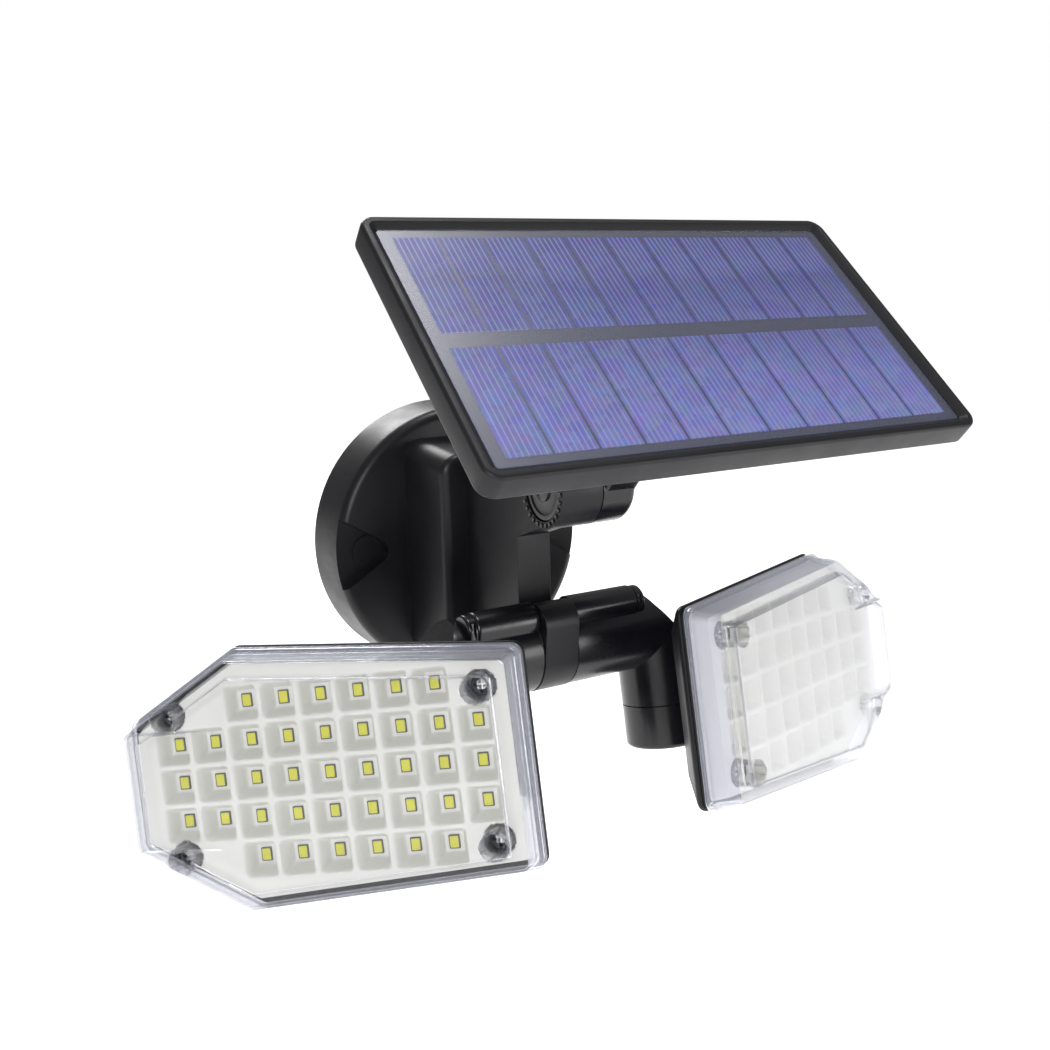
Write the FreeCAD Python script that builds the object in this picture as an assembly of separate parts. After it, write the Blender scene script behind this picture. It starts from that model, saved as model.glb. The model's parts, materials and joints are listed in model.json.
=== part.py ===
import FreeCAD, Part
import math
import os

V = FreeCAD.Vector
os.makedirs("parts", exist_ok=True)

# Solar flood light, millimetres. The wall is the plane Y = 0, the front looks along -Y, +X is right
# and +Z is up. The origin is the centre of the base's back face.

# ---- fits and walls
gap = 0.3                 # between pieces that only lie near each other
slip = 0.06               # radial clearance of a shaft that turns
seat = 0.05               # radial clearance of a fixed pin, screw or plug
wall = 2.4                # moulded housing wall

# ---- wall base
dish_radius = 44.0        # at the wall
rim_taper = 1.0
rim_radius = dish_radius - rim_taper       # at the front edge
dish_depth = 19.0
rim_round = 3.5
rim_wall = 2.8
plate_radius = dish_radius - rim_wall
ledge = 1.8
cavity_radius = plate_radius - ledge
plate_thickness = 2.5
seal_thickness = 1.5
box_front = 42.0          # depth of the electronics box's face from the wall
box_half_width = 18.5
box_half_height = 31.0
box_draft = 2.2           # growth of each side from the face to the dish
box_corner = 6.0
recess_depth = 3.0        # V recess for each wall screw
recess_apex = 23.0
recess_half_height = 15.0
wall_screw_x = 33.0
wall_screw_hole_radius = 2.4
wall_screw_skin = 1.5     # closed floor of the recess over each hole, pierced when the light is put up
base_screw_ring = cavity_radius - 4.0
base_screw_turn = 47.3    # degrees from the X axis

# ---- battery and electronics
cell_radius = 9.0
cell_length = 50.0
cell_y = -27.5
board_half = (17.0, 28.0)
board_thickness = 1.6
board_y = -8.0
tray_y = -12.0
pir_y = -31.0
pir_radius = 8.0
button_radius = 4.0
button_y = -30.0
button_z = -6.0
button_travel = 1.2
button_collar = box_half_width - wall - 0.9    # outer face of the collar that keeps the button in
switch_face = button_collar - 1.0 - button_travel - 0.2
switch_depth = 2.6
cell_clearance = 1.2      # air between the cell and the back of the switch
cell_x = switch_face - switch_depth - cell_clearance - cell_radius
clip_wall = 1.2

# ---- bracket on the box: upper knuckle for the panel, lower hub for the lamp arms
bracket_left = -10.5
bracket_right = 0.2
bracket_face = 71.0       # depth of the bracket's straight front edge
barrel_y = -88.0
barrel_z = 26.6
barrel_radius = 10.5
barrel_left = -12.5
barrel_right = 11.5
hinge_bolt_radius = 3.0

# ---- lamp arms
arm_y = -73.0
arm_z = -21.2
arm_radius = 12.1
arm_wall = 2.5
arm_lean = -11.2          # degrees about X
hub_radius = arm_radius + 0.9
channel_sink = 1.0        # how far inside the arm's surface the wire channel's axis lies
channel_turn = 39.1       # degrees forward of straight up
channel_offset = (-(arm_radius - channel_sink) * math.sin(math.radians(channel_turn)),
                  (arm_radius - channel_sink) * math.cos(math.radians(channel_turn)))
channel_radius = 5.0
channel_end_left = 30.0
channel_end_right = 22.6
plug_radius = 3.2
plug_head = 2.6
washer_thickness = 0.4
washer_radius = arm_radius - 0.7
spindle_radius = 4.5
bulkhead = 8.0
nut_thickness = 5.0
elbow_x = 35.0
elbow_bottom = -23.0
elbow_slope = [(0.0, 1.04), (3.5, 0.54), (7.8, 0.08), (12.5, -0.25), (40.0, -0.4)]   # X past the channel, share of radius
knuckle_bottom = -36.0
swivel_bolt_radius = 3.5

# ---- lamp heads: local X outboard, front along -Y, LED plane at Y = 0
led_pitch = 10.0
led_row_count = 5
head_x = 25.0             # head centre from the elbow axis, outboard
head_y = 30.0             # LED plane in front of the elbow axis
head_z = -20.0            # head centre below the arm axis
end_out = (4 * led_pitch + 13.0, led_pitch + 6.5)          # outboard corner
shoulder = (2 * led_pitch + 2.0, 2 * led_pitch + 14.0)
end_in = (-4 * led_pitch - 13.0, 2 * led_pitch + 8.0)      # inboard corner
head_corner = 3.0
shell_front = 1.5
shell_back = 10.5
shell_side = 4.0
shell_wall = 2.2
cover_wall = 1.6
cover_depth = 9.6
plateau_rise = 1.9
plateau_inset = 6.5
facet_x = 26.0
facet_drop = 6.0
facet_inset = 1.5         # the straight strip is this much narrower than the outboard end on each side
flange_depth = 2.2
reflector_depth = 4.6
cup_opening = 8.2
cup_floor = (4.6, 5.2)
screw_inboard = (end_in[0] + 10.4, end_in[1] - 9.0)
screw_outboard_x = end_out[0] - 13.5
side_slope = (shoulder[1] - end_out[1]) / (end_out[0] - shoulder[0])
screw_outboard = (screw_outboard_x, end_out[1] + 13.5 * side_slope - 5.9)
head_screws = [(x, sign * z) for x, z in (screw_inboard, screw_outboard) for sign in (1, -1)]
well_radius = 3.2
screw_radius = 1.4
left_yaw = 40.7
right_yaw = 19.9

# ---- solar panel: local Z is its normal, measured from the hinge axis
panel_width = 136.0
panel_height = 77.0
panel_depth = 6.6
panel_top = 62.3
panel_shift = -4.4        # panel centre along its own slope from the hinge normal
panel_tilt = 42.0
panel_corner = 4.0
lip = 3.4
lip_thickness = 1.5
cell_columns = 11
cell_margin = (3.0, 2.6)
centre_gap = 4.6
strip_gap = 0.7
cell_thickness = 0.3
film_thickness = 0.3


def save(name, shape):
    shape.exportStep("parts/" + name + ".step")


def box(x0, x1, y0, y1, z0, z1):
    low = V(min(x0, x1), min(y0, y1), min(z0, z1))
    return Part.makeBox(abs(x1 - x0), abs(y1 - y0), abs(z1 - z0), low)


def cyl_x(radius, x0, x1, y=0.0, z=0.0):
    return Part.makeCylinder(radius, abs(x1 - x0), V(min(x0, x1), y, z), V(1, 0, 0))


def cyl_y(radius, y0, y1, x=0.0, z=0.0):
    return Part.makeCylinder(radius, abs(y1 - y0), V(x, min(y0, y1), z), V(0, 1, 0))


def cyl_z(radius, z0, z1, x=0.0, y=0.0):
    return Part.makeCylinder(radius, abs(z1 - z0), V(x, y, min(z0, z1)), V(0, 0, 1))


def join(*shapes):
    whole = shapes[0].fuse(list(shapes[1:]))
    return whole.removeSplitter()


def group(shapes):
    return Part.makeCompound(shapes)


def fillet_edges(shape, radius, wanted):
    return shape.makeFillet(radius, [e for e in shape.Edges if wanted(e)])


def rounded_wire(points, radius, place):
    """Closed wire of straight runs joined by arcs; place turns a flat point into a vector."""
    edges = []
    ends = []
    count = len(points)
    for i in range(count):
        before, here, after = (V(*points[j % count], 0) for j in (i - 1, i, i + 1))
        a = (before - here).normalize()
        b = (after - here).normalize()
        half = a.getAngle(b) / 2
        reach = radius / math.tan(half)
        middle = here + (a + b).normalize() * (radius / math.sin(half) - radius)
        ends.append((here + a * reach, middle, here + b * reach))
    for i in range(count):
        start, middle, stop = (place(p.x, p.y) for p in ends[i])
        following = ends[(i + 1) % count][0]
        edges.append(Part.Arc(start, middle, stop).toShape())
        edges.append(Part.LineSegment(stop, place(following.x, following.y)).toShape())
    return Part.Wire(edges)


def inset(points, distance):
    """Counter-clockwise polygon moved inwards by distance."""
    count = len(points)
    moved = []
    for i in range(count):
        before, here, after = (V(*points[j % count], 0) for j in (i - 1, i, i + 1))
        a = (here - before).normalize()
        b = (after - here).normalize()
        na = V(-a.y, a.x, 0)
        nb = V(-b.y, b.x, 0)
        step = (na + nb) * (distance / (1 + na.dot(nb)))
        moved.append((here.x + step.x, here.y + step.y))
    return moved


def rectangle(half_x, half_z):
    return [(-half_x, -half_z), (half_x, -half_z), (half_x, half_z), (-half_x, half_z)]


def prism_y(points, radius, y0, y1):
    """Plate whose outline lies in XZ."""
    wire = rounded_wire(points, radius, lambda x, z: V(x, y0, z))
    return Part.Face(wire).extrude(V(0, y1 - y0, 0))


def loft_y(points0, radius0, y0, points1, radius1, y1):
    first = rounded_wire(points0, radius0, lambda x, z: V(x, y0, z))
    second = rounded_wire(points1, radius1, lambda x, z: V(x, y1, z))
    return Part.makeLoft([first, second], True)


def prism_z(points, radius, z0, z1):
    """Plate whose outline lies in XY."""
    wire = rounded_wire(points, radius, lambda x, y: V(x, y, z0))
    return Part.Face(wire).extrude(V(0, 0, z1 - z0))


def mirrored(shape):
    return shape.mirror(V(0, 0, 0), V(1, 0, 0))


def screw_y(x, z, head_y, head_radius, head_depth, shank_radius, tip_y):
    """Pan screw along +Y: its head is in front of head_y, its tip at tip_y."""
    head = cyl_y(head_radius, head_y - head_depth, head_y, x, z)
    slot = box(x - head_radius * 0.7, x + head_radius * 0.7, head_y - head_depth - 1, head_y - head_depth + 0.7,
               z - 0.4, z + 0.4)
    cross = box(x - 0.4, x + 0.4, head_y - head_depth - 1, head_y - head_depth + 0.7,
                z - head_radius * 0.7, z + head_radius * 0.7)
    return join(head, cyl_y(shank_radius, head_y, tip_y, x, z)).cut([slot, cross])


# ================================================================ wall base
floor_y = -(dish_depth - wall)
box_foot = [(box_half_width + box_draft), (box_half_height + box_draft * 1.6)]


def electronics_box(shrink, front):
    foot = rectangle(box_foot[0] - shrink, box_foot[1] - shrink)
    face = rectangle(box_half_width - shrink, box_half_height - shrink)
    return loft_y(foot, box_corner, floor_y + 1, face, box_corner, -front)


def wall_recess(grow, bottom):
    """V recess that opens at the rim on the right side; the left one is its mirror image."""
    reach = dish_radius + 4
    v_points = [(recess_apex, 0), (reach, -recess_half_height), (reach, recess_half_height)]
    return prism_y(inset(v_points, -grow), 4.0, -dish_depth - 1, bottom)


def base_housing():
    dish = Part.makeCone(dish_radius, rim_radius, dish_depth, V(0, 0, 0), V(0, -1, 0))
    dish = fillet_edges(dish, rim_round, lambda e: abs(e.BoundBox.YMax + dish_depth) < 0.01)
    front_box = electronics_box(0, box_front)
    front_box = fillet_edges(front_box, 2.6, lambda e: e.BoundBox.YMax < -box_front + 0.01)
    recess = wall_recess(0, -dish_depth + recess_depth)
    pad = wall_recess(wall, -dish_depth + recess_depth + wall)
    cavity = join(cyl_y(cavity_radius, 1, floor_y), electronics_box(wall, box_front - wall))
    cavity = cavity.cut([pad, mirrored(pad)])
    ledge = cyl_y(plate_radius + 0.2, 1, -plate_thickness - seal_thickness)
    bosses = [cyl_y(3.3, floor_y - 0.5, -plate_thickness - 0.1, x, z) for x, z in base_screw_places()]
    sleeves = [cyl_y(5.0, floor_y, -plate_thickness - 0.1, s * wall_screw_x) for s in (-1, 1)]
    body = join(dish, front_box).cut([recess, mirrored(recess)])
    body = body.cut([cavity, ledge])
    body = join(body, *(bosses + sleeves))
    pilots = [cyl_y(1.3 + seat, 1, -12, x, z) for x, z in base_screw_places()]
    hole_end = recess_depth + wall_screw_skin - dish_depth
    wall_holes = [cyl_y(wall_screw_hole_radius, 1, hole_end, s * wall_screw_x) for s in (-1, 1)]
    lens_hole = cyl_z(pir_radius + seat * 2, -60, -24, 0, pir_y)
    button_hole = cyl_x(button_radius + 0.15, 10, 30, button_y, button_z)
    fixings = [cyl_y(1.4 + seat, -30, -60, bracket_middle, z) for z in bracket_screw_z]
    return body.cut(pilots + wall_holes + [lens_hole, button_hole] + fixings)


def base_screw_places():
    x = base_screw_ring * math.cos(math.radians(base_screw_turn))
    z = base_screw_ring * math.sin(math.radians(base_screw_turn))
    return [(sx * x, sz * z) for sx in (-1, 1) for sz in (-1, 1)]


bracket_middle = (bracket_left + bracket_right) / 2
bracket_screw_z = (-20.0, 16.0)


def back_plate():
    plate = cyl_y(plate_radius, 0, -plate_thickness)
    holes = [cyl_y(wall_screw_hole_radius, 1, -9, s * wall_screw_x) for s in (-1, 1)]
    sinks = []
    for x, z in base_screw_places():
        holes.append(cyl_y(1.5, 1, -9, x, z))
        sinks.append(cyl_y(2.8, 1, -1.5, x, z))
    return plate.cut(holes + sinks)


def base_seal():
    y0 = -plate_thickness
    return cyl_y(plate_radius, y0, y0 - seal_thickness).cut(cyl_y(cavity_radius + 0.1, 1, -9))


def base_screws():
    made = []
    for x, z in base_screw_places():
        head = cyl_y(2.6, -0.2, -1.5, x, z)
        cross = [box(x - 1.7, x + 1.7, 0, -0.8, z - 0.35, z + 0.35), box(x - 0.35, x + 0.35, 0, -0.8, z - 1.7, z + 1.7)]
        made.append(join(head, cyl_y(1.3, -1.5, -11, x, z)).cut(cross))
    return group(made)


def battery_cell():
    body = cyl_z(cell_radius, -cell_length / 2, cell_length / 2 - 1, cell_x, cell_y)
    return join(body, cyl_z(3, cell_length / 2 - 1, cell_length / 2, cell_x, cell_y))


def battery_tray():
    half_x, half_z = board_half
    floor = box(-half_x + 1, half_x - 1, tray_y, tray_y - 1.6, -half_z + 1, half_z - 1)
    clips = []
    half_clip = cell_radius + clip_wall
    for z in (-17, 17):
        block = box(cell_x - half_clip, cell_x + half_clip, tray_y - 1.6, cell_y - 3, z - 4, z + 4)
        clips.append(block)
    posts = [cyl_y(2.0, tray_y, -plate_thickness, x, z) for x, z in tray_posts()]
    tray = join(floor, *(clips + posts))
    return tray.cut(cyl_z(cell_radius + 0.1, -60, 60, cell_x, cell_y))


def tray_posts():
    half_x, half_z = board_half
    return [(x, z) for x in (-half_x + 4, half_x - 4) for z in (-half_z + 4, half_z - 4)]


def control_board():
    half_x, half_z = board_half
    board = box(-half_x, half_x, board_y, board_y - board_thickness, -half_z, half_z)
    chips = [box(-6, 4, board_y, board_y + 2, -14, -2), box(-4, 6, board_y, board_y + 3, 6, 14)]
    return join(board, *chips).cut([cyl_y(2.0 + seat, 0, -20, x, z) for x, z in tray_posts()])


def pir_lens():
    dome = Part.makeSphere(pir_radius, V(0, pir_y, -box_half_height - 1))
    hollow = Part.makeSphere(pir_radius - 1.2, V(0, pir_y, -box_half_height - 1))
    skirt = cyl_z(pir_radius, -box_half_height - 1, -box_half_height + 3.5, 0, pir_y)
    bore = cyl_z(pir_radius - 1.2, -box_half_height - 1, -20, 0, pir_y)
    upper = box(-20, 20, pir_y - 20, pir_y + 20, -box_half_height - 1, 0)
    return join(dome.cut(upper), skirt).cut([hollow, bore])


def pir_sensor():
    top = -box_half_height + 3.5
    plate = cyl_z(pir_radius - 0.2, top, top + 1.2, 0, pir_y)
    return join(plate, cyl_z(4.1, top - 4, top, 0, pir_y))


def mode_button():
    face = box_half_width + 2.2
    stem = cyl_x(button_radius, button_collar, face, button_y, button_z)
    stem = fillet_edges(stem, 0.8, lambda e: e.BoundBox.XMin > face - 0.01)
    return join(stem, cyl_x(button_radius + 0.9, button_collar - 1.0, button_collar, button_y, button_z))


def mode_switch():
    back = switch_face - switch_depth
    body = box(back, switch_face, button_y - 3, button_y + 3, button_z - 3, button_z + 3)
    arm = box(back, back + 1.6, tray_y - 1.6, button_y + 3, button_z - 3, button_z + 3)
    return join(body, arm)


# ================================================================ bracket, panel hinge and arm hub
def bracket():
    face_y = -bracket_face
    outline = [(-box_front, -27), (-box_front, 23), (-62, 33), (barrel_y + 6, barrel_z + barrel_radius - 1.6),
               (barrel_y + 2, barrel_z - barrel_radius + 0.3), (face_y, 11), (face_y, arm_z + 8), (arm_y + 6, -32)]
    flat = Part.makePolygon([V(bracket_left, y, z) for y, z in outline + outline[:1]])
    fin = Part.Face(flat).extrude(V(bracket_right - bracket_left, 0, 0))
    knuckle = cyl_x(barrel_radius, barrel_left, bracket_right, barrel_y, barrel_z)
    hub = cyl_x(hub_radius, bracket_left, bracket_right, arm_y, arm_z)
    dy, dz = channel_offset
    boss = cyl_x(channel_radius + 1.1, bracket_left, bracket_right, arm_y + dy, arm_z + dz)
    web = Part.Face(Part.makePolygon([V(bracket_left, arm_y + y, arm_z + z) for y, z in hub_web()]))
    whole = join(fin, knuckle, hub, boss, web.extrude(V(bracket_right - bracket_left, 0, 0)))
    recess = cyl_x(8.4, barrel_left - 1, barrel_left + 1.4, barrel_y, barrel_z)
    head = cyl_x(5.2, barrel_left - 1, barrel_left + 5, barrel_y, barrel_z)
    bolt = cyl_x(hinge_bolt_radius + seat, -30, 30, barrel_y, barrel_z)
    spindle = cyl_x(spindle_radius + seat, -30, 30, arm_y, arm_z)
    pilots = [cyl_y(1.4 + seat, -box_front + 1, -box_front - 9, bracket_middle, z) for z in bracket_screw_z]
    return whole.cut([recess, head, bolt, spindle] + pilots)


def hub_web():
    """Corners that fill the hollow between the hub and its wire channel, all inside their common tangents."""
    dy, dz = channel_offset
    length = math.hypot(dy, dz)
    ty, tz = dy / length, dz / length
    side = channel_radius + 1.1
    lean = (hub_radius - side) / length
    across = math.sqrt(1 - lean * lean)
    corners = []
    for sign in (1, -1):
        ny = lean * ty - sign * across * tz
        nz = lean * tz + sign * across * ty
        pair = [(hub_radius * ny, hub_radius * nz), (dy + side * ny, dz + side * nz)]
        corners += pair if sign > 0 else pair[::-1]
    return corners + corners[:1]


def bracket_screws():
    made = []
    for z in bracket_screw_z:
        top = -box_front + wall
        made.append(join(cyl_y(2.6, top, top + 2, bracket_middle, z),
                         cyl_y(1.4, top, -box_front - 8, bracket_middle, z)))
    return group(made)


def panel_hinge_bolt():
    head = cyl_x(5.0, barrel_left + 1.6, barrel_left + 5, barrel_y, barrel_z)
    shank = cyl_x(hinge_bolt_radius, barrel_left + 5, barrel_right - 2.8, barrel_y, barrel_z)
    return join(head, shank)


def panel_hinge_cap():
    disc = cyl_x(8.3, barrel_left + 0.5, barrel_left + 1.4, barrel_y, barrel_z)
    eye = cyl_x(3.2, barrel_left + 0.1, barrel_left + 0.5, barrel_y, barrel_z)
    return join(disc, eye)


def hexagon_x(size, x0, x1, y, z, bore):
    corners = [V(x0, y + size * math.cos(k * math.pi / 3), z + size * math.sin(k * math.pi / 3)) for k in range(7)]
    body = Part.Face(Part.makePolygon(corners)).extrude(V(x1 - x0, 0, 0))
    return body.cut(cyl_x(bore, min(x0, x1) - 1, max(x0, x1) + 1, y, z))


def panel_hinge_nut():
    return hexagon_x(5.6, barrel_right - 5.6, barrel_right - 2.6, barrel_y, barrel_z, hinge_bolt_radius + seat)


def arm_spindle():
    return cyl_x(spindle_radius, spindle_ends[0], spindle_ends[1], arm_y, arm_z)


arm_start_left = bracket_left - washer_thickness - 0.05
arm_start_right = bracket_right + washer_thickness + 0.05
spindle_ends = (arm_start_left - bulkhead - nut_thickness - 0.5, arm_start_right + bulkhead + nut_thickness + 0.5)


def arm_washers():
    left = cyl_x(washer_radius, bracket_left - washer_thickness, bracket_left, arm_y, arm_z)
    right = cyl_x(washer_radius, bracket_right, bracket_right + washer_thickness, arm_y, arm_z)
    bore = cyl_x(spindle_radius + seat, -40, 40, arm_y, arm_z)
    return group([left.cut(bore), right.cut(bore)])


def arm_nuts():
    left = arm_start_left - bulkhead - 0.15
    right = arm_start_right + bulkhead + 0.15
    return group([hexagon_x(7.4, left - nut_thickness, left, arm_y, arm_z, spindle_radius + seat),
                  hexagon_x(7.4, right, right + nut_thickness, arm_y, arm_z, spindle_radius + seat)])


# ================================================================ lamp arm, outboard along +X from its own axis
def above_elbow(channel_end, drop):
    """Room over the elbow, whose top slopes down outboard of the wire channel."""
    first = channel_end + plug_head + 0.8
    profile = [(first + x, share * arm_radius - drop) for x, share in elbow_slope]
    corners = [(profile[0][0], 3 * arm_radius)] + profile + [(profile[-1][0], 3 * arm_radius)]
    flat = Part.makePolygon([V(x, -2 * arm_radius, z) for x, z in corners + corners[:1]])
    return Part.Face(flat).extrude(V(0, 4 * arm_radius, 0))


def arm_tube(start, channel_end):
    dy, dz = channel_offset
    tube = join(cyl_x(arm_radius, start, elbow_x), Part.makeSphere(arm_radius, V(elbow_x, 0, 0)),
                cyl_z(arm_radius, elbow_bottom, 0, elbow_x))
    channel = cyl_x(channel_radius, start, channel_end, dy, dz)
    channel = fillet_edges(channel, 1.0, lambda e: e.BoundBox.XMin > channel_end - 0.01)
    inner = arm_radius - arm_wall
    hollow = join(cyl_x(inner, start + bulkhead, elbow_x), Part.makeSphere(inner, V(elbow_x, 0, 0)),
                  cyl_z(inner, elbow_bottom + 3, 0, elbow_x)).cut(above_elbow(channel_end - arm_wall, arm_wall))
    bore = cyl_x(spindle_radius + slip, start - 1, start + bulkhead + 1)
    bolt = cyl_z(swivel_bolt_radius + seat, elbow_bottom - 1, elbow_bottom + 4, elbow_x)
    plug = cyl_x(plug_radius, channel_end - 7, channel_end + 1, dy, dz)
    tube = tube.cut(above_elbow(channel_end, 0))
    return join(tube, channel).cut([hollow, bore, bolt, plug])


def channel_plug(channel_end):
    dy, dz = channel_offset
    head = cyl_x(channel_radius - 0.3, channel_end, channel_end + plug_head, dy, dz)
    head = fillet_edges(head, 0.8, lambda e: e.BoundBox.XMin > channel_end + plug_head - 0.1)
    groove = box(channel_end + 0.4, channel_end + 1.4, dy - 9, dy - channel_radius + 1.1, dz - 2.2, dz + 2.2)
    beside_tube = join(cyl_x(arm_radius + seat, 0, elbow_x), Part.makeSphere(arm_radius + seat, V(elbow_x, 0, 0)))
    return join(head.cut(beside_tube), cyl_x(plug_radius - seat, channel_end - 6, channel_end + 0.5, dy, dz)).cut(groove)


def swivel_bolt():
    head = cyl_z(6.5, elbow_bottom + 3, elbow_bottom + 6, elbow_x)
    return join(head, cyl_z(swivel_bolt_radius, elbow_bottom + 3, knuckle_bottom + 1.4, elbow_x))


def swivel_nut():
    body = cyl_z(6.2, knuckle_bottom + 0.4, knuckle_bottom + 4.6, elbow_x)
    body = fillet_edges(body, 1.2, lambda e: e.BoundBox.ZMax < knuckle_bottom + 0.41)
    return body.cut(cyl_z(swivel_bolt_radius + seat, knuckle_bottom + 1.4, -20, elbow_x))


# ================================================================ lamp head
outline = [(end_in[0], -end_in[1]), (shoulder[0], -shoulder[1]), (end_out[0], -end_out[1]), end_out, shoulder, end_in]


def head_plate(shrink, y0, y1):
    return prism_y(inset(outline, shrink), max(head_corner - shrink * 0.3, 0.8), y0, y1)


def back_shell():
    rim = head_plate(0, shell_front, shell_front + shell_side)
    back = loft_y(outline, head_corner, shell_front + shell_side, inset(outline, 5.0), head_corner, shell_back)
    inner = head_plate(shell_wall, shell_front - 1, shell_front + shell_side)
    deep = loft_y(inset(outline, shell_wall), head_corner, shell_front + shell_side,
                  inset(outline, 5.0 + shell_wall * 0.6), head_corner, shell_back - shell_wall)
    tray = join(rim, back).cut(join(inner, deep))
    bosses = [cyl_y(3.6, 1.9, shell_back - 1, x, z) for x, z in head_screws]
    pilots = [cyl_y(screw_radius + seat, -5, 9, x, z) for x, z in head_screws]
    cable = cyl_y(3.0, 5, 20, -head_x + 7, 2.0)
    return join(tray, *bosses).cut(pilots + [cable] + [cyl_y(1.6, 5, 20, x, z) for x, z in neck_screw_places()])


def neck_screw_places():
    return [(-head_x + 7, 14.0), (-head_x + 7, -10.0)]


def head_seal():
    return head_plate(0.7, shell_front - 1.0, shell_front).cut(head_plate(shell_wall + 0.4, -5, 5))


def led_board():
    plate = head_plate(shell_wall + 2.2, 0, 1.6)
    return plate.cut([cyl_y(screw_radius + 0.4, -5, 5, x, z) for x, z in head_screws])


def led_places():
    """Nine lamps in each middle row, six in the top and bottom rows, which start nearer the inboard end."""
    places = []
    last = led_row_count // 2
    for row in range(-last, last + 1):
        columns = range(-3, 3) if abs(row) == last else range(-4, 5)
        places += [(column * led_pitch, row * led_pitch) for column in columns]
    return places


def led_chips():
    return group([box(x - 1.4, x + 1.4, 0, -0.8, z - 1.75, z + 1.75) for x, z in led_places()])


def reflector():
    tray = head_plate(shell_wall + 1.6, -0.05, -reflector_depth)
    cups = []
    half_x, half_z = (size / 2 for size in cup_floor)
    mouth = cup_opening / 2
    for x, z in led_places():
        floor_wire = Part.makePolygon([V(x + sx * half_x, 0.1, z + sz * half_z) for sx, sz in square_turn])
        mouth_wire = Part.makePolygon([V(x + sx * mouth, -reflector_depth - 0.1, z + sz * mouth)
                                       for sx, sz in square_turn])
        cups.append(Part.makeLoft([floor_wire, mouth_wire], True, True))
    wells = [cyl_y(well_radius + cover_wall + 0.4, 5, -9, x, z) for x, z in head_screws]
    return tray.cut(cups + wells)


square_turn = [(-1, -1), (1, -1), (1, 1), (-1, 1), (-1, -1)]


def cover_solid(shrink, front):
    """Outer body of the clear cover: straight wall, raised plateau and two sloping outboard corners."""
    wall_part = loft_y(inset(outline, 1.2 + shrink), 2.4, shell_front - 1.0, inset(outline, 2.4 + shrink), 2.4, -front)
    plateau = prism_y(inset(outline, plateau_inset + shrink), 1.6, -front + 0.5, -front - plateau_rise)
    whole = join(wall_part, plateau)
    slopes = []
    for sign in (-1, 1):
        top = -front - plateau_rise
        reach = end_out[0] + 7
        slope = facet_drop / (end_out[0] - facet_x)
        profile = [V(facet_x, top, 0), V(reach, top, 0), V(reach, top + slope * (reach - facet_x), 0)]
        wedge = Part.Face(Part.makePolygon(profile + profile[:1])).extrude(V(0, 0, sign * shoulder[1]))
        slopes.append(wedge.translated(V(0, 0, sign * (end_out[1] - facet_inset))))
    return whole.cut(slopes)


def clear_cover():
    flange = head_plate(0.2, shell_front - 1.0, shell_front - 1.0 - flange_depth)
    outer = join(cover_solid(0, cover_depth), flange)
    hollow = cover_solid(cover_wall, cover_depth - cover_wall)
    pillars = [cyl_y(well_radius + cover_wall, -0.2, -cover_depth, x, z) for x, z in head_screws]
    keep = join(outer.cut(hollow), *[p.common(outer) for p in pillars])
    wells = [cyl_y(well_radius, -1.8, -30, x, z) for x, z in head_screws]
    holes = [cyl_y(screw_radius + seat, 5, -30, x, z) for x, z in head_screws]
    return keep.cut(wells + holes)


def cover_screws():
    return group([screw_y(x, z, -1.8, 2.6, 2.0, screw_radius, 8.0) for x, z in head_screws])


def head_knuckle():
    """Barrel under the elbow and the neck that carries the head; built about the elbow axis."""
    barrel = cyl_z(arm_radius, knuckle_bottom, elbow_bottom - gap)
    barrel = fillet_edges(barrel, 1.4, lambda e: e.BoundBox.ZMax < knuckle_bottom + 0.01)
    back = -head_y + shell_back
    neck = box(0.6, 13.5, back, 0, knuckle_bottom + 3, 0)
    neck = fillet_edges(neck, 2.0, lambda e: e.BoundBox.ZMin > -0.01 and e.BoundBox.XLength < 0.01)
    clear = cyl_z(arm_radius + 0.5, elbow_bottom - gap, 20)
    pad = box(-2, 16, back, back + 2.5, knuckle_bottom + 1, 1)
    bore = cyl_z(swivel_bolt_radius + slip, -60, 0)
    recess = cyl_z(6.6, knuckle_bottom - 1, knuckle_bottom + 5)
    pilots = [cyl_y(1.4 + seat, back - 1, back + 6, x + head_x, z + head_z) for x, z in neck_screw_places()]
    return join(barrel, neck, pad).cut([clear, bore, recess] + pilots)


def neck_screws():
    made = []
    for x, z in neck_screw_places():
        inside = shell_back - shell_wall
        made.append(join(cyl_y(2.6, inside - 1.8, inside, x, z), cyl_y(1.4, inside, shell_back + 5, x, z)))
    return group(made)


# ================================================================ solar panel about the hinge axis
def panel_outline(shrink):
    half_x = panel_width / 2 - shrink
    half_y = panel_height / 2 - shrink
    return [(x, y + panel_shift) for x, y in rectangle(half_x, half_y)]


laminate_top = panel_top - lip_thickness - 0.1
laminate_thickness = 1.2
back_cover_thickness = 1.8
panel_bottom = panel_top - panel_depth


def panel_frame():
    block = prism_z(panel_outline(0), panel_corner, panel_bottom, panel_top)
    block = fillet_edges(block, 0.9, lambda e: e.BoundBox.ZMin > panel_top - 0.01 or e.BoundBox.ZMax < panel_bottom + 0.01)
    window = prism_z(panel_outline(lip), 1.2, panel_bottom - 1, panel_top + 1)
    pocket = prism_z(panel_outline(2.2), 2.0, panel_bottom - 1, panel_top - lip_thickness)
    corner_posts = [cyl_z(3.2, panel_bottom + back_cover_thickness, laminate_top - laminate_thickness - 0.1, x, y)
                    for x, y in panel_screw_places()]
    braces = [box(x, math.copysign(panel_width / 2 - 1, x), y - 1.2, y + 1.2,
                  panel_bottom + back_cover_thickness, laminate_top - laminate_thickness - 0.1)
              for x, y in panel_screw_places()]
    body = join(block.cut([window, pocket]), *(corner_posts + braces))
    return body.cut([cyl_z(1.2 + seat, 0, laminate_top - laminate_thickness - 0.6, x, y)
                     for x, y in panel_screw_places()])


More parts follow.
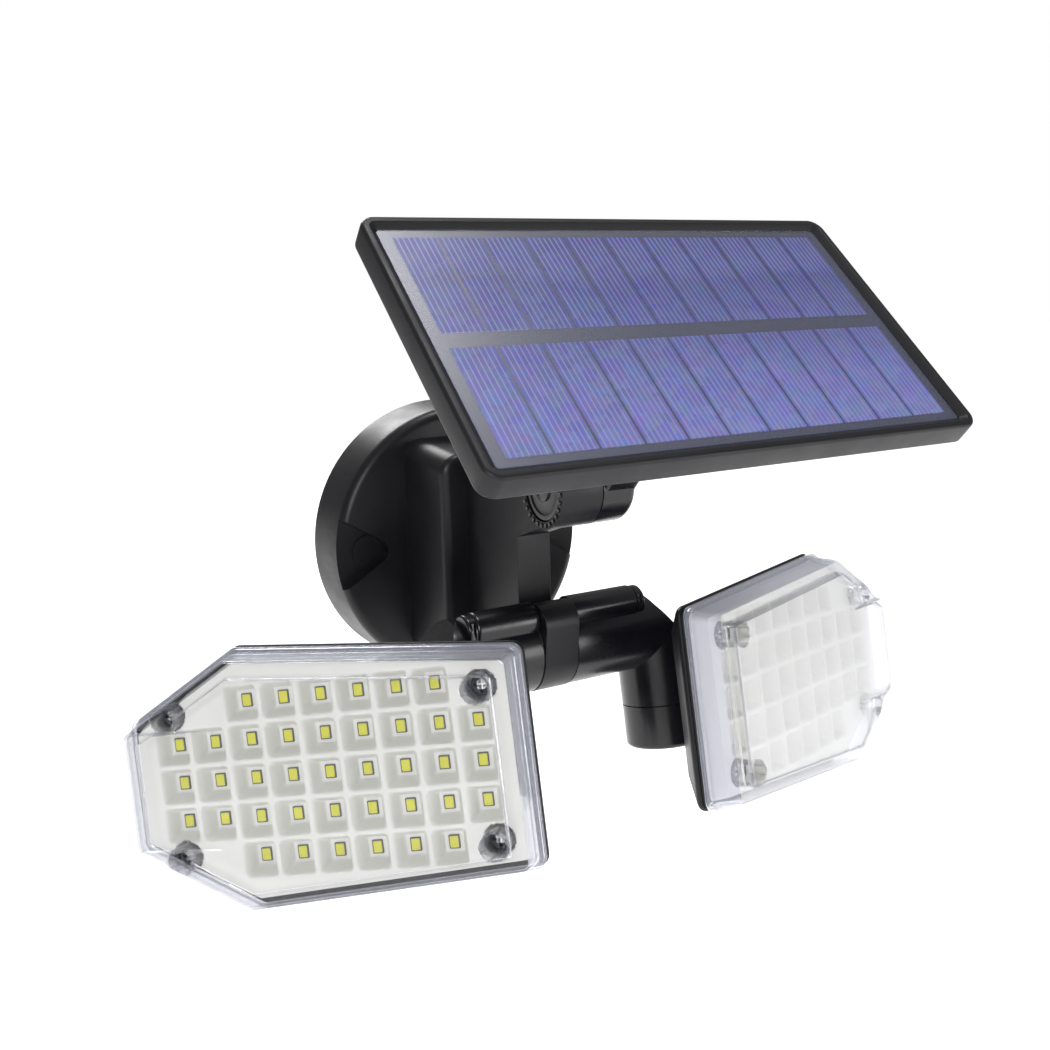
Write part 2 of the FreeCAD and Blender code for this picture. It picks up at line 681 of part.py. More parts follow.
def panel_screw_places():
    half_x = panel_width / 2 - 7.5
    half_y = panel_height / 2 - 7.5
    return [(x, y + panel_shift) for x in (-half_x, half_x) for y in (-half_y, half_y)]


def panel_laminate():
    return prism_z(panel_outline(2.3), 1.9, laminate_top - laminate_thickness, laminate_top)


def solar_cells():
    field_x = panel_width / 2 - lip - cell_margin[0]
    field_y = panel_height / 2 - lip - cell_margin[1]
    pitch = 2 * field_x / cell_columns
    strips = []
    for column in range(cell_columns):
        x0 = -field_x + column * pitch + strip_gap / 2
        for sign in (-1, 1):
            y0 = panel_shift + sign * centre_gap / 2
            y1 = panel_shift + sign * field_y
            strips.append(box(x0, x0 + pitch - strip_gap, y0, y1, laminate_top, laminate_top + cell_thickness))
    return group(strips)


def panel_film():
    low = laminate_top + cell_thickness
    return prism_z(panel_outline(lip + 0.2), 1.0, low, low + film_thickness)


def panel_back_cover():
    plate = prism_z(panel_outline(2.4), 1.8, panel_bottom, panel_bottom + back_cover_thickness)
    holes = [cyl_z(1.3, 0, 99, x, y) for x, y in panel_screw_places()]
    sinks = [cyl_z(2.6, 0, panel_bottom + 1.1, x, y) for x, y in panel_screw_places()]
    stem_holes = [cyl_z(1.5, 0, 99, x, y) for x, y in stem_screw_places()]
    return plate.cut(holes + sinks + stem_holes)


def panel_screws():
    made = []
    for x, y in panel_screw_places():
        made.append(join(cyl_z(2.4, panel_bottom + 0.2, panel_bottom + 1.1, x, y),
                         cyl_z(1.2, panel_bottom + 1.1, panel_bottom + 3.2, x, y)))
    return group(made)


stem_left = bracket_right + gap
stem_middle = (stem_left + barrel_right) / 2
flange_half = (19.0, 14.0)
flange_thickness = 3.0


def stem_screw_places():
    return [(stem_middle + sx * (flange_half[0] - 4), sy * (flange_half[1] - 4)) for sx in (-1, 1) for sy in (-1, 1)]


def panel_stem():
    knuckle = cyl_x(barrel_radius, stem_left, barrel_right)
    knuckle = fillet_edges(knuckle, 2.6, lambda e: e.BoundBox.XMin > barrel_right - 0.01)
    half = (barrel_right - stem_left) / 2
    narrow = [(stem_left, -8), (barrel_right, -8), (barrel_right, 8), (stem_left, 8)]
    wide = [(stem_middle + x, y) for x, y in rectangle(half + 4, 11)]
    top = panel_bottom - flange_thickness
    lower = rounded_wire(narrow, 1.5, lambda x, y: V(x, y, 4))
    middle = rounded_wire(narrow, 1.5, lambda x, y: V(x, y, 22))
    upper = rounded_wire(wide, 1.5, lambda x, y: V(x, y, top))
    column = join(Part.makeLoft([lower, middle], True), Part.makeLoft([middle, upper], True))
    flange = prism_z([(stem_middle + x, y) for x, y in rectangle(*flange_half)], 3.0, top, panel_bottom)
    bore = cyl_x(hinge_bolt_radius + slip, -20, 40)
    nut_room = cyl_x(6.2, barrel_right - 5.9, barrel_right + 1)
    pilots = [cyl_z(1.4 + seat, top + 0.4, 99, x, y) for x, y in stem_screw_places()]
    return join(knuckle, column, flange).cut([bore, nut_room] + pilots)


def stem_screws():
    made = []
    for x, y in stem_screw_places():
        top = panel_bottom + back_cover_thickness
        made.append(join(cyl_z(2.5, top, top + 1.4, x, y), cyl_z(1.4, top - back_cover_thickness - 2.2, top, x, y)))
    return group(made)


def hinge_end_plug():
    return cyl_x(6.2 - seat, barrel_right - 2.0, barrel_right - 0.6)


# ================================================================ placing and writing
def rotation(axis, degrees):
    return FreeCAD.Placement(V(0, 0, 0), FreeCAD.Rotation(axis, degrees))


panel_place = FreeCAD.Placement(V(0, barrel_y, barrel_z), FreeCAD.Rotation(V(1, 0, 0), panel_tilt))
arm_place = FreeCAD.Placement(V(0, arm_y, arm_z), FreeCAD.Rotation(V(1, 0, 0), arm_lean))


def placed(shape, place):
    moved = shape.copy()
    moved.Placement = place.multiply(moved.Placement)
    return moved


def write_base():
    pieces = {"base_housing": base_housing, "base_back_plate": back_plate, "base_seal": base_seal,
              "base_screws": base_screws, "battery_cell": battery_cell, "battery_tray": battery_tray,
              "control_board": control_board, "pir_lens": pir_lens, "pir_sensor": pir_sensor,
              "mode_button": mode_button, "mode_switch": mode_switch, "hinge_bracket": bracket,
              "bracket_screws": bracket_screws, "panel_hinge_bolt": panel_hinge_bolt,
              "panel_hinge_cap": panel_hinge_cap, "panel_hinge_nut": panel_hinge_nut, "arm_spindle": arm_spindle,
              "arm_washers": arm_washers, "arm_spindle_nuts": arm_nuts}
    for name, make in pieces.items():
        save(name, make())


def write_panel():
    pieces = {"panel_frame": panel_frame, "panel_laminate": panel_laminate, "solar_cells": solar_cells,
              "panel_film": panel_film, "panel_back_cover": panel_back_cover, "panel_screws": panel_screws,
              "panel_stem": panel_stem, "panel_stem_screws": stem_screws, "panel_hinge_plug": hinge_end_plug}
    for name, make in pieces.items():
        save(name, placed(make(), panel_place))


def write_lamp(side, yaw, start, channel_end):
    def finish(shape):
        return placed(shape if side == "right" else mirrored(shape), arm_place)

    arm_pieces = {"arm_tube": arm_tube(start, channel_end), "arm_channel_plug": channel_plug(channel_end),
                  "swivel_bolt": swivel_bolt(), "swivel_nut": swivel_nut()}
    for name, shape in arm_pieces.items():
        save(side + "_" + name, finish(shape))
    swivel = FreeCAD.Placement(V(elbow_x, 0, 0), FreeCAD.Rotation(V(0, 0, 1), yaw))
    to_head = FreeCAD.Placement(V(head_x, -head_y, head_z), FreeCAD.Rotation())
    save(side + "_head_knuckle", finish(placed(head_knuckle(), swivel)))
    for name, shape in head_pieces.items():
        save(side + "_" + name, finish(placed(placed(shape, to_head), swivel)))


head_pieces = {"head_shell": back_shell(), "head_seal": head_seal(), "led_board": led_board(),
               "led_chips": led_chips(), "reflector": reflector(), "clear_cover": clear_cover(),
               "cover_screws": cover_screws(), "neck_screws": neck_screws()}

write_base()
write_panel()
write_lamp("left", left_yaw, -arm_start_left, channel_end_left)
write_lamp("right", right_yaw, arm_start_right, channel_end_right)
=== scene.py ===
import json
import math

import bmesh
import bpy
import numpy as np
from mathutils import Matrix, Vector


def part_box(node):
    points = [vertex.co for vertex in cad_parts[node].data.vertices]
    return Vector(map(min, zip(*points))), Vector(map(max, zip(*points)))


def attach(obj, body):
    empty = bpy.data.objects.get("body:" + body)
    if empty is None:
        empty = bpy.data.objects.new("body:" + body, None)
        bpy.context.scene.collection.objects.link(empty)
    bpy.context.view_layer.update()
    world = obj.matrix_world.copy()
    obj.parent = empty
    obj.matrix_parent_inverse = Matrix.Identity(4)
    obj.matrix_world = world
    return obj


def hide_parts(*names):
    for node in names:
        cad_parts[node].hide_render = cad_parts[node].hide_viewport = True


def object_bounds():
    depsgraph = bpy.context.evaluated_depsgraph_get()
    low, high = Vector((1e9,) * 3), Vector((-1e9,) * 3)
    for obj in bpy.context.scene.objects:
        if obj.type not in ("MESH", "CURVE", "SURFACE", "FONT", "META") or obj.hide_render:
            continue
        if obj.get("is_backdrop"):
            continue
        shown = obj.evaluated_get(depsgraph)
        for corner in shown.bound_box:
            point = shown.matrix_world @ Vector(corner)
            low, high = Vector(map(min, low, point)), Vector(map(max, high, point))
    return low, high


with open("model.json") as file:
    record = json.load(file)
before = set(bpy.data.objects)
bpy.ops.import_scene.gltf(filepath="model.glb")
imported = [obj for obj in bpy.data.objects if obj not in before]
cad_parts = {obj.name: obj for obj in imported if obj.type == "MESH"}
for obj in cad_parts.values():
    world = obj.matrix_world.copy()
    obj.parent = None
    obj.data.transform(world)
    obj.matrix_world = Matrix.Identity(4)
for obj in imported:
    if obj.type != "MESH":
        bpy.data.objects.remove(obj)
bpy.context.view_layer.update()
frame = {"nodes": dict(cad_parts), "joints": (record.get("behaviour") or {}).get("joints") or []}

# Solar flood light. Shapes are worked out in millimetres in the piece's own frame, then placed in metres:
# the panel's frame lies on its hinge axis with Z as the panel's normal, the arms' frame lies on their
# common axis, and a head's frame has X outboard, -Y out of the lamp face and its lamps on Y = 0.
mm = 0.001
joint_at = {joint["name"]: joint.get("pos_m") for joint in frame["joints"]}
PANEL_SLOPE = 42.0
ARM_LEAN = -11.2
HEAD_YAW = {"left": 40.7, "right": 19.9}
HEAD_FROM_ELBOW = (25.0, -30.0, -20.0)
SIDES = ("left", "right")


# ---------------------------------------------------------------- frames
def shift(x, y, z):
    return Matrix.Translation((x, y, z))


def turn(axis, degrees):
    return Matrix.Rotation(math.radians(degrees), 4, axis)


def hinge_frame(joint, slope):
    """Millimetre frame on a joint's point, leaning about X."""
    return Matrix.Translation(joint_at[joint]) @ turn("X", slope) @ Matrix.Scale(mm, 4)


panel_place = hinge_frame("panel_tilt", PANEL_SLOPE)
wall_place = Matrix.Scale(mm, 4)


def arm_place(side):
    """The left arm is the right one mirrored in X."""
    place = hinge_frame(side + "_arm_tilt", ARM_LEAN)
    return place @ Matrix.Diagonal((-1, 1, 1, 1)) if side == "left" else place


def elbow_x():
    """Millimetres from the middle plane out to an elbow's axis."""
    return abs(joint_at["right_head_swivel"][0]) / mm


def swivel_place(side):
    """Frame on the elbow, turned with the head."""
    return arm_place(side) @ shift(elbow_x(), 0, 0) @ turn("Z", HEAD_YAW[side])


def head_place(side):
    """Frame on the middle of the lamp plane: X outboard, Y back, Z up the head."""
    return swivel_place(side) @ shift(*HEAD_FROM_ELBOW)


# ---------------------------------------------------------------- meshes
def put(name, surfaces, place, body, materials, nodes=(), crease=38.0, closed=True):
    """One object from surfaces (points, faces, material index), placed in its mesh."""
    mesh = bpy.data.meshes.new(name)
    points, faces, indices, start = [], [], [], 0
    for surface_points, surface_faces, index in surfaces:
        points.append(np.asarray(surface_points, float).reshape(-1, 3))
        faces += [[corner + start for corner in face] for face in surface_faces]
        indices += [index] * len(surface_faces)
        start += len(points[-1])
    mesh.from_pydata(np.concatenate(points).tolist(), [], faces)
    for material in materials:
        mesh.materials.append(material)
    mesh.polygons.foreach_set("material_index", indices)
    mesh.transform(place)
    solid = bmesh.new()
    solid.from_mesh(mesh)
    bmesh.ops.remove_doubles(solid, verts=solid.verts, dist=1e-7)
    if closed:
        bmesh.ops.recalc_face_normals(solid, faces=solid.faces)
    elif place.determinant() < 0:
        bmesh.ops.reverse_faces(solid, faces=solid.faces)
    solid.to_mesh(mesh)
    solid.free()
    mesh.shade_smooth()
    mesh.set_sharp_from_angle(angle=math.radians(crease))
    piece = bpy.data.objects.new(name, mesh)
    bpy.context.scene.collection.objects.link(piece)
    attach(piece, body)
    if nodes:
        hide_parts(*nodes)
    return piece


def skin(rings, index=0, ends=(True, True), loop=False):
    """Quads between neighbouring closed rings (levels, around, 3); each end is closed by a flat face."""
    rings = np.asarray(rings, float)
    levels, around = rings.shape[:2]
    grid = np.arange(levels * around).reshape(levels, around)
    here = grid if loop else grid[:-1]
    after = np.roll(grid, -1, 0) if loop else grid[1:]
    quads = np.stack([here, np.roll(here, -1, 1), np.roll(after, -1, 1), after], -1).reshape(-1, 4).tolist()
    if ends[0] and not loop:
        quads.append(grid[0][::-1].tolist())
    if ends[1] and not loop:
        quads.append(grid[-1].tolist())
    return rings.reshape(-1, 3), quads, index


def grid_faces(rows, columns):
    """Quads of a grid of points, and its rim as one closed run of point numbers."""
    index = np.arange(rows * columns).reshape(rows, columns)
    quads = np.stack([index[:-1, :-1], index[1:, :-1], index[1:, 1:], index[:-1, 1:]], -1)
    rim = np.concatenate([index[:, 0], index[-1, 1:], index[-2::-1, -1], index[0, -2:0:-1]])
    return quads.reshape(-1, 4).tolist(), rim


def rounded(corners, radii, steps=5):
    """Open line through the corners, each inner corner an arc tangent to its two runs."""
    corners = [np.asarray(c, float) for c in corners]
    line = [corners[0]]
    for before, here, after, radius in zip(corners, corners[1:], corners[2:], radii):
        a = (before - here) / np.linalg.norm(before - here)
        b = (after - here) / np.linalg.norm(after - here)
        half = math.acos(float(np.clip(a @ b, -1, 1))) / 2
        if radius <= 0 or half > 1.56:
            line.append(here)
            continue
        reach = radius / math.tan(half)
        centre = here + (a + b) / np.linalg.norm(a + b) * (radius / math.sin(half))
        start = here + a * reach - centre
        stop = here + b * reach - centre
        sweep = math.atan2(start[0] * stop[1] - start[1] * stop[0], float(start @ stop))
        for angle in np.linspace(0, sweep, steps + 1):
            c, s = math.cos(angle), math.sin(angle)
            line.append(centre + np.array([start[0] * c - start[1] * s, start[0] * s + start[1] * c]))
    line.append(corners[-1])
    return np.array(line)


def moved_in(points, distance):
    """Counter-clockwise outline with every side moved inwards by distance."""
    points = np.asarray(points, float)
    ahead = np.roll(points, -1, 0) - points
    ahead /= np.linalg.norm(ahead, axis=1)[:, None]
    normal = np.stack([-ahead[:, 1], ahead[:, 0]], 1)
    behind = np.roll(normal, 1, 0)
    step = (normal + behind) * (distance / (1 + (normal * behind).sum(1)))[:, None]
    return points + step


def outline_ring(points, radius, steps=8, between=1):
    """Closed outline with an arc at each corner and a fixed count of points on each straight run."""
    points = np.asarray(points, float)
    ring = []
    count = len(points)
    arcs = []
    for i in range(count):
        arcs.append(rounded([points[i - 1], points[i], points[(i + 1) % count]], [radius], steps)[1:-1])
    for i in range(count):
        ring.append(arcs[i])
        start, stop = arcs[i][-1], arcs[(i + 1) % count][0]
        shares = np.linspace(0, 1, between + 1)[1:-1, None]
        ring.append(start + (stop - start) * shares)
    return np.concatenate(ring)


def turned(profile, around=96):
    """Rings of a profile (along X, radius) turned about X."""
    angle = np.linspace(0, 2 * np.pi, around, endpoint=False)
    along, radius = np.asarray(profile, float).T
    ring = np.stack([np.zeros(around), np.cos(angle), np.sin(angle)], 1)
    rings = ring[None] * radius[:, None, None]
    rings[:, :, 0] = along[:, None]
    return rings


def smooth_step(low, high, value):
    """0 below low, 1 above high, eased between."""
    t = np.clip((value - low) / (high - low), 0, 1)
    return t * t * (3 - 2 * t)


def finished_copy(node, name, body, material, edge, segments=2, crease=35.0):
    """Copy of a moulding with its corners merged and every sharp edge rounded."""
    source = frame["nodes"][node]
    mesh = source.data.copy()
    mesh.name = name
    mesh.materials.clear()
    mesh.materials.append(material)
    solid = bmesh.new()
    solid.from_mesh(mesh)
    bmesh.ops.remove_doubles(solid, verts=solid.verts, dist=2e-6)
    bmesh.ops.dissolve_limit(solid, angle_limit=math.radians(0.4), verts=solid.verts, edges=solid.edges)
    solid.to_mesh(mesh)
    solid.free()
    if "custom_normal" in mesh.attributes:
        mesh.attributes.remove(mesh.attributes["custom_normal"])
    mesh.shade_smooth()
    piece = bpy.data.objects.new(name, mesh)
    bpy.context.scene.collection.objects.link(piece)
    bevel = piece.modifiers.new("rounded_edges", "BEVEL")
    bevel.width = edge * mm
    bevel.segments = segments
    bevel.limit_method = "ANGLE"
    bevel.angle_limit = math.radians(crease)
    bevel.harden_normals = False
    mesh.set_sharp_from_angle(angle=math.radians(crease))
    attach(piece, body)
    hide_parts(node)
    return piece


# ---------------------------------------------------------------- materials
def finish(name, colour, roughness, **sockets):
    """Material with one Principled shader; extra sockets are set as constants."""
    material = bpy.data.materials.new(name)
    material.use_nodes = True
    shader = material.node_tree.nodes["Principled BSDF"]
    shader.inputs["Base Color"].default_value = (*colour, 1)
    shader.inputs["Roughness"].default_value = roughness
    for socket, value in sockets.items():
        shader.inputs[socket.replace("_", " ")].default_value = value
    return material


def node(material, kind, **values):
    """New shader node with its properties or input values set by name."""
    made = material.node_tree.nodes.new(kind)
    for key, value in values.items():
        if hasattr(made, key):
            setattr(made, key, value)
        else:
            made.inputs[key.replace("_", " ")].default_value = value
    return made


def link(material, source, output, target, socket):
    material.node_tree.links.new(source.outputs[output], target.inputs[socket])


def grained(material, grain_mm, depth, low, high, colour_spread=0.0):
    """Moulded grain: fine noise lifts the surface, a slower noise varies the gloss and the tone."""
    shader = material.node_tree.nodes["Principled BSDF"]
    place = node(material, "ShaderNodeTexCoord")
    fine = node(material, "ShaderNodeTexNoise", Scale=1 / (grain_mm * mm), Detail=2.0)
    slow = node(material, "ShaderNodeTexNoise", Scale=90.0, Detail=4.0)
    for noise in (fine, slow):
        link(material, place, "Object", noise, "Vector")
    bump = node(material, "ShaderNodeBump", Strength=depth, Distance=0.00005)
    link(material, fine, "Fac", bump, "Height")
    link(material, bump, "Normal", shader, "Normal")
    gloss = node(material, "ShaderNodeMapRange")
    gloss.inputs["From Min"].default_value = 0.3
    gloss.inputs["From Max"].default_value = 0.7
    gloss.inputs["To Min"].default_value = low
    gloss.inputs["To Max"].default_value = high
    link(material, slow, "Fac", gloss, "Value")
    link(material, gloss, "Result", shader, "Roughness")
    if colour_spread:
        base = shader.inputs["Base Color"].default_value[:3]
        tone = node(material, "ShaderNodeMix", data_type="RGBA")
        tone.inputs["A"].default_value = (*[c * (1 - colour_spread) for c in base], 1)
        tone.inputs["B"].default_value = (*[min(1, c * (1 + colour_spread)) for c in base], 1)
        link(material, slow, "Fac", tone, "Factor")
        link(material, tone, "Result", shader, "Base Color")
    return material


def clear_finish(name, tint, haze_colour, haze_low, haze_high, gloss, shine):
    """Clear plastic: see-through where it faces the eye, hazy towards its edges, glossy by Fresnel."""
    material = finish(name, haze_colour, 0.18, Specular_IOR_Level=0.5)
    haze = material.node_tree.nodes["Principled BSDF"]
    out = material.node_tree.nodes["Material Output"]
    clear = node(material, "ShaderNodeBsdfTransparent", Color=(*tint, 1))
    mirror = node(material, "ShaderNodeBsdfGlossy", Roughness=gloss, Color=(1, 1, 1, 1))
    edge = node(material, "ShaderNodeLayerWeight", Blend=0.5)
    power = node(material, "ShaderNodeMath", operation="POWER")
    power.inputs[1].default_value = 5.0
    link(material, edge, "Facing", power, 0)
    share = node(material, "ShaderNodeMapRange")
    share.inputs["To Min"].default_value = haze_low
    share.inputs["To Max"].default_value = haze_high
    link(material, power, "Value", share, "Value")
    body = node(material, "ShaderNodeMixShader")
    link(material, share, "Result", body, 0)
    link(material, clear, "BSDF", body, 1)
    link(material, haze, "BSDF", body, 2)
    fresnel = node(material, "ShaderNodeFresnel", IOR=1.4)
    shining = node(material, "ShaderNodeMath", operation="MULTIPLY")
    shining.inputs[1].default_value = shine
    link(material, fresnel, "Fac", shining, 0)
    skin_mix = node(material, "ShaderNodeMixShader")
    link(material, shining, "Value", skin_mix, 0)
    link(material, body, "Shader", skin_mix, 1)
    link(material, mirror, "BSDF", skin_mix, 2)
    link(material, skin_mix, "Shader", out, "Surface")
    return material


def cell_finish():
    """Silicon strips: fine pale fingers along each strip over a blue that deepens up the slope, lighter
    towards the lower edge as a painted reflection.
    """
    material = finish("solar_cell", (0.2, 0.22, 0.5), 0.32, Coat_Weight=0.35, Coat_Roughness=0.12)
    shader = material.node_tree.nodes["Principled BSDF"]
    place = node(material, "ShaderNodeTexCoord")
    level = node(material, "ShaderNodeMapping", vector_type="TEXTURE")
    level.inputs["Location"].default_value = joint_at["panel_tilt"]
    level.inputs["Rotation"].default_value = (math.radians(PANEL_SLOPE), 0, 0)
    link(material, place, "Object", level, "Vector")
    parts = node(material, "ShaderNodeSeparateXYZ")
    link(material, level, "Vector", parts, "Vector")
    finger = node(material, "ShaderNodeMath", operation="MULTIPLY")
    finger.inputs[1].default_value = 2 * math.pi / (FINGER_PITCH * mm)
    link(material, parts, "X", finger, 0)
    wave = node(material, "ShaderNodeMath", operation="COSINE")
    link(material, finger, "Value", wave, 0)
    line = node(material, "ShaderNodeMapRange")
    line.inputs["From Min"].default_value = 0.35
    line.inputs["From Max"].default_value = 0.95
    line.inputs["To Max"].default_value = 0.55
    link(material, wave, "Value", line, "Value")
    # painted reflection: the base colour runs from a lighter blue at the panel's lower edge to a deep blue at
    # its top, standing in for a sheen
    slope = node(material, "ShaderNodeMapRange")
    slope.inputs["From Min"].default_value = -43 * mm
    slope.inputs["From Max"].default_value = 34 * mm
    link(material, parts, "Y", slope, "Value")
    grain = node(material, "ShaderNodeTexVoronoi", Scale=420.0)
    link(material, level, "Vector", grain, "Vector")
    # colour A is the lighter blue of the painted reflection at the lower edge, colour B the deep blue at the
    # top
    depth = node(material, "ShaderNodeMix", data_type="RGBA")
    depth.inputs["A"].default_value = (0.165, 0.185, 0.46, 1)
    depth.inputs["B"].default_value = (0.045, 0.055, 0.22, 1)
    link(material, slope, "Result", depth, "Factor")
    flecks = node(material, "ShaderNodeMix", data_type="RGBA", blend_type="SOFT_LIGHT")
    flecks.inputs["Factor"].default_value = 0.25
    link(material, depth, "Result", flecks, "A")
    link(material, grain, "Color", flecks, "B")
    ruled = node(material, "ShaderNodeMix", data_type="RGBA")
    ruled.inputs["B"].default_value = (0.36, 0.37, 0.6, 1)
    link(material, line, "Result", ruled, "Factor")
    link(material, flecks, "Result", ruled, "A")
    link(material, ruled, "Result", shader, "Base Color")
    return material


PANEL_SIZE = (136.0, 77.0)
PANEL_LIP = 3.4
CELL_MARGIN_X = 3.0
CELL_COLUMNS = 11
FINGERS = 8
FINGER_PITCH = (PANEL_SIZE[0] - 2 * PANEL_LIP - 2 * CELL_MARGIN_X) / CELL_COLUMNS / FINGERS

satin_black = grained(finish("satin_black", (0.006, 0.006, 0.008), 0.4, Specular_IOR_Level=0.3),
                      0.45, 0.35, 0.34, 0.46, 0.2)
gloss_black = grained(finish("gloss_black", (0.005, 0.005, 0.007), 0.25, Specular_IOR_Level=0.45),
                      0.6, 0.12, 0.2, 0.3, 0.2)
frame_black = grained(finish("frame_black", (0.008, 0.008, 0.010), 0.42, Specular_IOR_Level=0.3),
                      0.4, 0.3, 0.38, 0.5, 0.15)
shell_black = grained(finish("shell_black", (0.006, 0.006, 0.008), 0.4, Specular_IOR_Level=0.3),
                      0.45, 0.3, 0.34, 0.46, 0.2)
zinc = grained(finish("zinc", (0.55, 0.55, 0.56), 0.3, Metallic=1.0), 0.5, 0.15, 0.22, 0.38, 0.1)
# zinc painted dark as shade, for the screw heads' rims and shanks
zinc_painted_shade = grained(finish("zinc_painted_shade", (0.04, 0.04, 0.05), 0.4, Metallic=0.3), 0.5, 0.15, 0.25, 0.4, 0.1)
white_plastic = grained(finish("reflector_white", (0.70, 0.70, 0.67), 0.45), 0.6, 0.1, 0.35, 0.5, 0.03)
lamp_yellow = grained(finish("lamp_yellow", (0.62, 0.61, 0.06), 0.35), 0.2, 0.2, 0.3, 0.45, 0.12)
lamp_package = grained(finish("lamp_package", (0.09, 0.09, 0.08), 0.4), 0.3, 0.1, 0.35, 0.5, 0.1)
board_white = grained(finish("lamp_board", (0.7, 0.71, 0.7), 0.45), 0.5, 0.1, 0.4, 0.55, 0.05)
seal_rubber = grained(finish("seal_rubber", (0.015, 0.015, 0.016), 0.6), 0.4, 0.3, 0.5, 0.7, 0.2)
cell_wrap = grained(finish("cell_wrap", (0.03, 0.18, 0.35), 0.35), 0.6, 0.1, 0.3, 0.45, 0.1)
board_green = grained(finish("board_green", (0.02, 0.13, 0.05), 0.4), 0.5, 0.1, 0.35, 0.5, 0.15)
laminate_grey = grained(finish("laminate_grey", (0.035, 0.04, 0.075), 0.5, Specular_IOR_Level=0.2),
                        0.5, 0.1, 0.4, 0.5, 0.1)
lens_white = grained(finish("lens_white", (0.75, 0.75, 0.73), 0.35, Subsurface_Weight=0.1),
                     0.6, 0.1, 0.3, 0.4, 0.03)
button_rubber = grained(finish("button_rubber", (0.02, 0.02, 0.021), 0.6), 0.4, 0.3, 0.5, 0.65, 0.2)
clear_cover = clear_finish("clear_cover", (0.985, 0.985, 0.99), (0.76, 0.78, 0.92), 0.0, 0.6, 0.04, 0.6)
clear_flange = clear_finish("clear_flange", (0.97, 0.97, 0.985), (0.76, 0.78, 0.90), 0.18, 0.7, 0.05, 0.6)
solar_cell = cell_finish()
clear_film = clear_finish("clear_film", (0.98, 0.98, 1.0), (0.3, 0.32, 0.5), 0.01, 0.08, 0.3, 0.14)

slot_finish = {"black_plastic": satin_black, "zinc_steel": zinc, "clear_plastic": clear_cover,
               "white_plastic": white_plastic, "board_aluminium": board_white, "led_yellow": lamp_yellow,
               "seal_rubber": seal_rubber, "cell_wrap": cell_wrap, "green_board": board_green,
               "solar_blue": solar_cell, "laminate_grey": laminate_grey, "clear_film": clear_film,
               "lens_white": lens_white, "button_rubber": button_rubber}
for piece in frame["nodes"].values():
    for slot_index, slot_material in enumerate(piece.data.materials):
        wanted = slot_finish.get(slot_material.name.split(".")[0])
        if wanted:
            piece.data.materials[slot_index] = wanted


# ---------------------------------------------------------------- lamp heads
LED_PITCH = 10.0
END_OUT = (4 * LED_PITCH + 13.0, LED_PITCH + 6.5)
SHOULDER = (2 * LED_PITCH + 2.0, 2 * LED_PITCH + 14.0)
END_IN = (-4 * LED_PITCH - 13.0, 2 * LED_PITCH + 8.0)
HEAD_OUTLINE = [(END_IN[0], -END_IN[1]), (SHOULDER[0], -SHOULDER[1]), (END_OUT[0], -END_OUT[1]),
                END_OUT, SHOULDER, END_IN]
SIDE_SLOPE = (SHOULDER[1] - END_OUT[1]) / (END_OUT[0] - SHOULDER[0])
SCREW_PLACES = [(x, sign * z) for x, z in ((END_IN[0] + 10.4, END_IN[1] - 9.0),
                                           (END_OUT[0] - 13.5, END_OUT[1] + 13.5 * SIDE_SLOPE - 5.9))
                for sign in (1, -1)]
HEAD_CORNER = 3.0
CORNER_LOSS = 0.3         # the corners' radius shrinks by this much per millimetre of inset
REFLECTOR_DEPTH = 4.6
REFLECTOR_INSET = 3.9
REFLECTOR_END = 2.0       # run with closer lines at each end of the reflector
CUP_FLOOR = 0.06          # the cups' floors lie this far in front of the lamp plane
END_RADIUS = 0.9
SKIRT_SPREAD = 1.6
SKIRT_INSET = 2.4
SKIRT_FOOT = 1.35
SAME_POINT = 1e-5


def head_rings(profile):
    """Head's rounded outline at each (inset, depth) of a profile; depth runs along Y."""
    rings = []
    for inset, depth in profile:
        radius = max(HEAD_CORNER - CORNER_LOSS * inset, 0.8)
        ring = outline_ring(moved_in(HEAD_OUTLINE, inset), radius)
        rings.append(np.stack([ring[:, 0], np.full(len(ring), depth), ring[:, 1]], 1))
    return rings


def head_shell(side):
    """Back shell: one profile of inset and depth, from the back face round the rim to the inner floor."""
    back, floor = 10.5, 8.2
    front, side_end = 1.5, 3.0
    wall, middle = 2.3, 14.0
    outer = [(middle, back), (8.3, back), (0, side_end), (0, front)]
    inner = [(wall, front), (wall, side_end), (8.6, floor), (middle, floor)]
    profile = rounded(outer + inner, [2.0, 1.6, 0.5, 0.4, 0.8, 0.8])
    put(side + "_back_shell", [skin(head_rings(profile))], head_place(side), side + "_head", [shell_black],
        [side + "_head_shell"])


def lamp_places():
    """Nine lamps in the middle three rows, six in the top and bottom rows."""
    return [(column * LED_PITCH, row * LED_PITCH) for row in range(-2, 3)
            for column in (range(-3, 3) if abs(row) == 2 else range(-4, 5))]


def half_height(x, inset):
    """Half height of the head's outline at x, moved in by inset, with its end corners rounded."""
    low = END_IN[0] + inset
    high = END_OUT[0] - inset
    top_slope = (SHOULDER[1] - END_IN[1]) / (SHOULDER[0] - END_IN[0])
    upper = END_IN[1] + (x - END_IN[0]) * top_slope - inset * math.hypot(1, top_slope)
    side = END_OUT[1] + (END_OUT[0] - x) * SIDE_SLOPE - inset * math.hypot(1, SIDE_SLOPE)
    height = np.minimum(upper, side)
    near = np.clip(END_RADIUS - np.minimum(x - low, high - x), 0, END_RADIUS)
    return height - (END_RADIUS - np.sqrt(END_RADIUS ** 2 - near ** 2))


